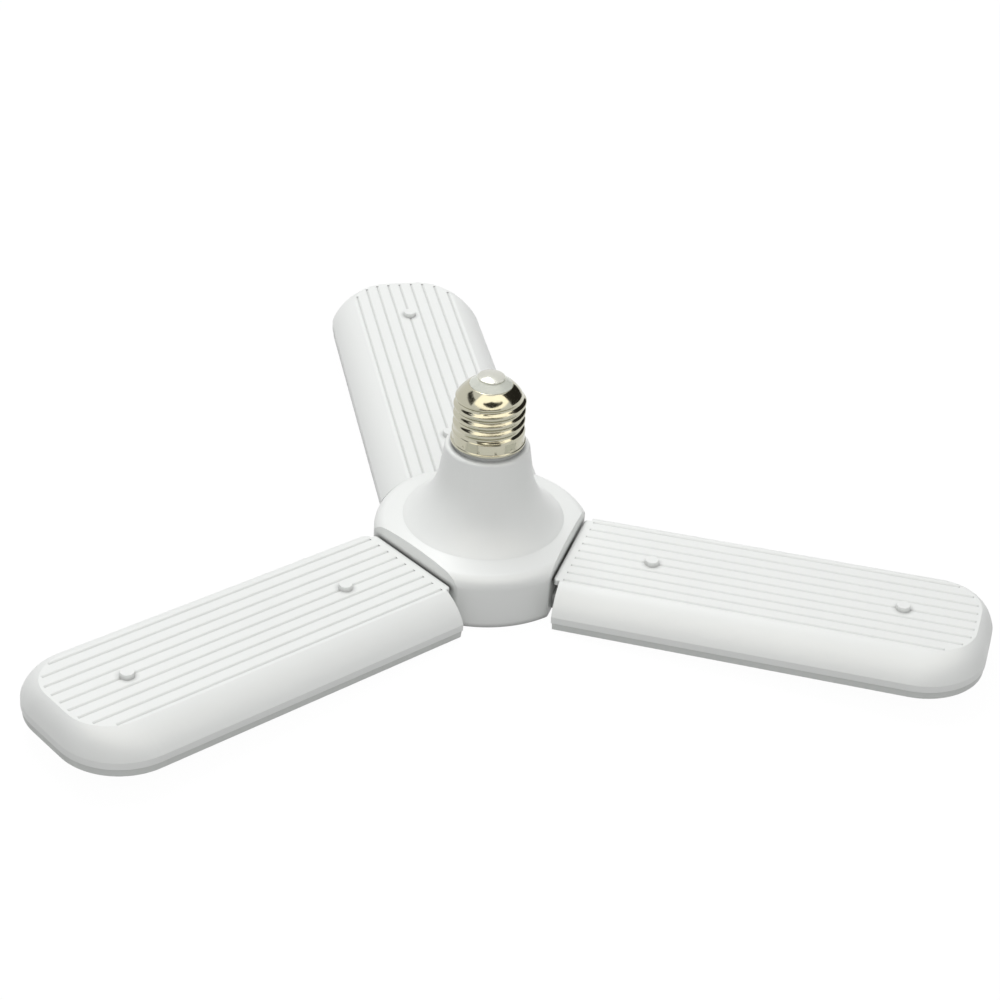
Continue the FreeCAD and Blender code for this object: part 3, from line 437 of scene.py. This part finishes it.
# panels that only shiny surfaces reflect: distance, brightness, azimuths from the front (positive
# to the right), lower and upper edge at the first azimuth and at the second, all in degrees
CARDS = {
    "softbox_front": (1.6, 2.1, -65, 88, (38, 74), (38, 74)),
    "dark_middle_left": (1.5, 0.04, -30, 8, (48, 52), (43, 59)),
    "dark_middle_right": (1.5, 0.04, 8, 60, (43, 59), (46, 50)),
    "dark_low": (1.5, 0.25, -34, 40, (4, 38), (4, 38)),
    "dark_side": (1.5, 0.03, 84, 155, (24, 60), (-8, 40)),
    "dark_left": (1.5, 0.04, -112, -68, (30, 42), (30, 46)),
}
CARD_COLOR = (1.0, 0.94, 0.82, 1.0)
CARD_STEP = 3                # degrees between the points of a panel's edge


def camera_or_glossy(tree):
    """1 for camera, mirror and see-through rays, 0 for the rays that light the object."""
    path = tree.nodes.new("ShaderNodeLightPath")
    first = tree.nodes.new("ShaderNodeMath")
    first.operation = "MAXIMUM"
    second = tree.nodes.new("ShaderNodeMath")
    second.operation = "MAXIMUM"
    tree.links.new(path.outputs["Is Camera Ray"], first.inputs[0])
    tree.links.new(path.outputs["Is Transmission Ray"], first.inputs[1])
    tree.links.new(first.outputs[0], second.inputs[0])
    tree.links.new(path.outputs["Is Glossy Ray"], second.inputs[1])
    return second.outputs[0]


def build_floor():
    """Wide white table: shows white, keeps a faint contact shadow."""
    mesh = bpy.data.meshes.new("floor")
    signs = ((-1, -1), (1, -1), (1, 1), (-1, 1))
    corners = [(x * FLOOR_HALF, y * FLOOR_HALF, FLOOR_Z) for x, y in signs]
    mesh.from_pydata(corners, [], [(0, 1, 2, 3)])
    floor = bpy.data.objects.new("floor", mesh)
    bpy.context.scene.collection.objects.link(floor)
    material = bpy.data.materials.new("floor_white")
    material.use_nodes = True
    tree = material.node_tree
    tree.nodes.clear()
    diffuse = tree.nodes.new("ShaderNodeBsdfDiffuse")
    diffuse.inputs["Color"].default_value = (FLOOR_ALBEDO, FLOOR_ALBEDO, FLOOR_ALBEDO, 1.0)
    glow = tree.nodes.new("ShaderNodeEmission")
    glow.inputs["Color"].default_value = (1.0, 1.0, 1.0, 1.0)
    glow.inputs["Strength"].default_value = FLOOR_WHITE
    share = tree.nodes.new("ShaderNodeMath")
    share.operation = "MULTIPLY"
    share.inputs[1].default_value = 1 - SHADOW_SHARE
    tree.links.new(camera_or_glossy(tree), share.inputs[0])
    mix = tree.nodes.new("ShaderNodeMixShader")
    tree.links.new(share.outputs[0], mix.inputs["Fac"])
    tree.links.new(diffuse.outputs[0], mix.inputs[1])
    tree.links.new(glow.outputs[0], mix.inputs[2])
    output = tree.nodes.new("ShaderNodeOutputMaterial")
    tree.links.new(mix.outputs[0], output.inputs["Surface"])
    mesh.materials.append(material)


def build_world(strength):
    """Even pale light, pure white to the camera."""
    world = bpy.data.worlds.new("studio")
    bpy.context.scene.world = world
    world.use_nodes = True
    tree = world.node_tree
    background = tree.nodes["Background"]
    background.inputs["Color"].default_value = (1.0, 1.0, 1.0, 1.0)
    level = tree.nodes.new("ShaderNodeMapRange")
    level.inputs["To Min"].default_value = strength
    level.inputs["To Max"].default_value = BACKDROP_WHITE
    tree.links.new(camera_or_glossy(tree), level.inputs["Value"])
    tree.links.new(level.outputs["Result"], background.inputs["Strength"])


def area_light(name, at, size, power):
    """Square soft light that looks at the lamp."""
    light = bpy.data.lights.new(name, "AREA")
    light.shape = "SQUARE"
    light.size = size
    light.energy = power
    lamp = bpy.data.objects.new(name, light)
    lamp.location = at
    facing = Vector(LIGHTS_LOOK_AT) - Vector(at)
    lamp.rotation_euler = facing.to_track_quat("-Z", "Y").to_euler()
    bpy.context.scene.collection.objects.link(lamp)
    return lamp


def card_mesh(name, first, last, edges_first, edges_last):
    """Strip of a unit sphere, between two azimuths and two elevations at each."""
    points = []
    count = max(1, round((last - first) / CARD_STEP))
    for index in range(count + 1):
        share = index / count
        azimuth = math.radians(first + (last - first) * share)
        for low, high in zip(edges_first, edges_last):
            elevation = math.radians(low + (high - low) * share)
            flat = math.cos(elevation)
            points.append((math.sin(azimuth) * flat, -math.cos(azimuth) * flat,
                           math.sin(elevation)))
    faces = [(2 * i, 2 * i + 1, 2 * i + 3, 2 * i + 2) for i in range(count)]
    mesh = bpy.data.meshes.new(name)
    mesh.from_pydata(points, [], faces)
    return mesh


def card_material(name, level):
    """Even glow with a warm tint."""
    material = bpy.data.materials.new(name)
    material.use_nodes = True
    tree = material.node_tree
    tree.nodes.clear()
    glow = tree.nodes.new("ShaderNodeEmission")
    glow.inputs["Color"].default_value = CARD_COLOR
    glow.inputs["Strength"].default_value = level
    output = tree.nodes.new("ShaderNodeOutputMaterial")
    tree.links.new(glow.outputs[0], output.inputs["Surface"])
    return material


def build_cards():
    """Bright and dark panels for the cap to reflect."""
    for name, (distance, level, *shape) in CARDS.items():
        mesh = card_mesh(name, *shape)
        mesh.materials.append(card_material(name, level))
        card = bpy.data.objects.new(name, mesh)
        card.scale = (distance, distance, distance)
        card.visible_camera = False
        card.visible_diffuse = False
        card.visible_transmission = False
        card.visible_shadow = False
        bpy.context.scene.collection.objects.link(card)


def build_camera():
    """Camera where the photograph was taken from."""
    camera = bpy.data.cameras.new("camera")
    camera.sensor_width = SENSOR_MM
    camera.lens = FOCAL_PX / PHOTO_WIDTH * SENSOR_MM
    camera.clip_start = CAMERA_NEAR
    eye = bpy.data.objects.new("camera", camera)
    turn = Matrix((CAMERA_RIGHT, CAMERA_UP, tuple(-c for c in CAMERA_FORWARD))).transposed()
    eye.matrix_world = Matrix.Translation(CAMERA_AT) @ turn.to_4x4()
    bpy.context.scene.collection.objects.link(eye)
    bpy.context.scene.camera = eye


def main():
    materials = make_materials()
    dress_nodes(materials)
    build_cap(materials)
    build_leads(materials)
    build_floor()
    build_world(WORLD_LIGHT)
    area_light("key_light", KEY_AT, KEY_SIZE, KEY_POWER)
    front = area_light("front_light", FRONT_AT, FRONT_SIZE, FRONT_POWER)
    front.visible_glossy = False
    build_cards()
    build_camera()
    bpy.context.scene.view_settings.view_transform = "Standard"


main()
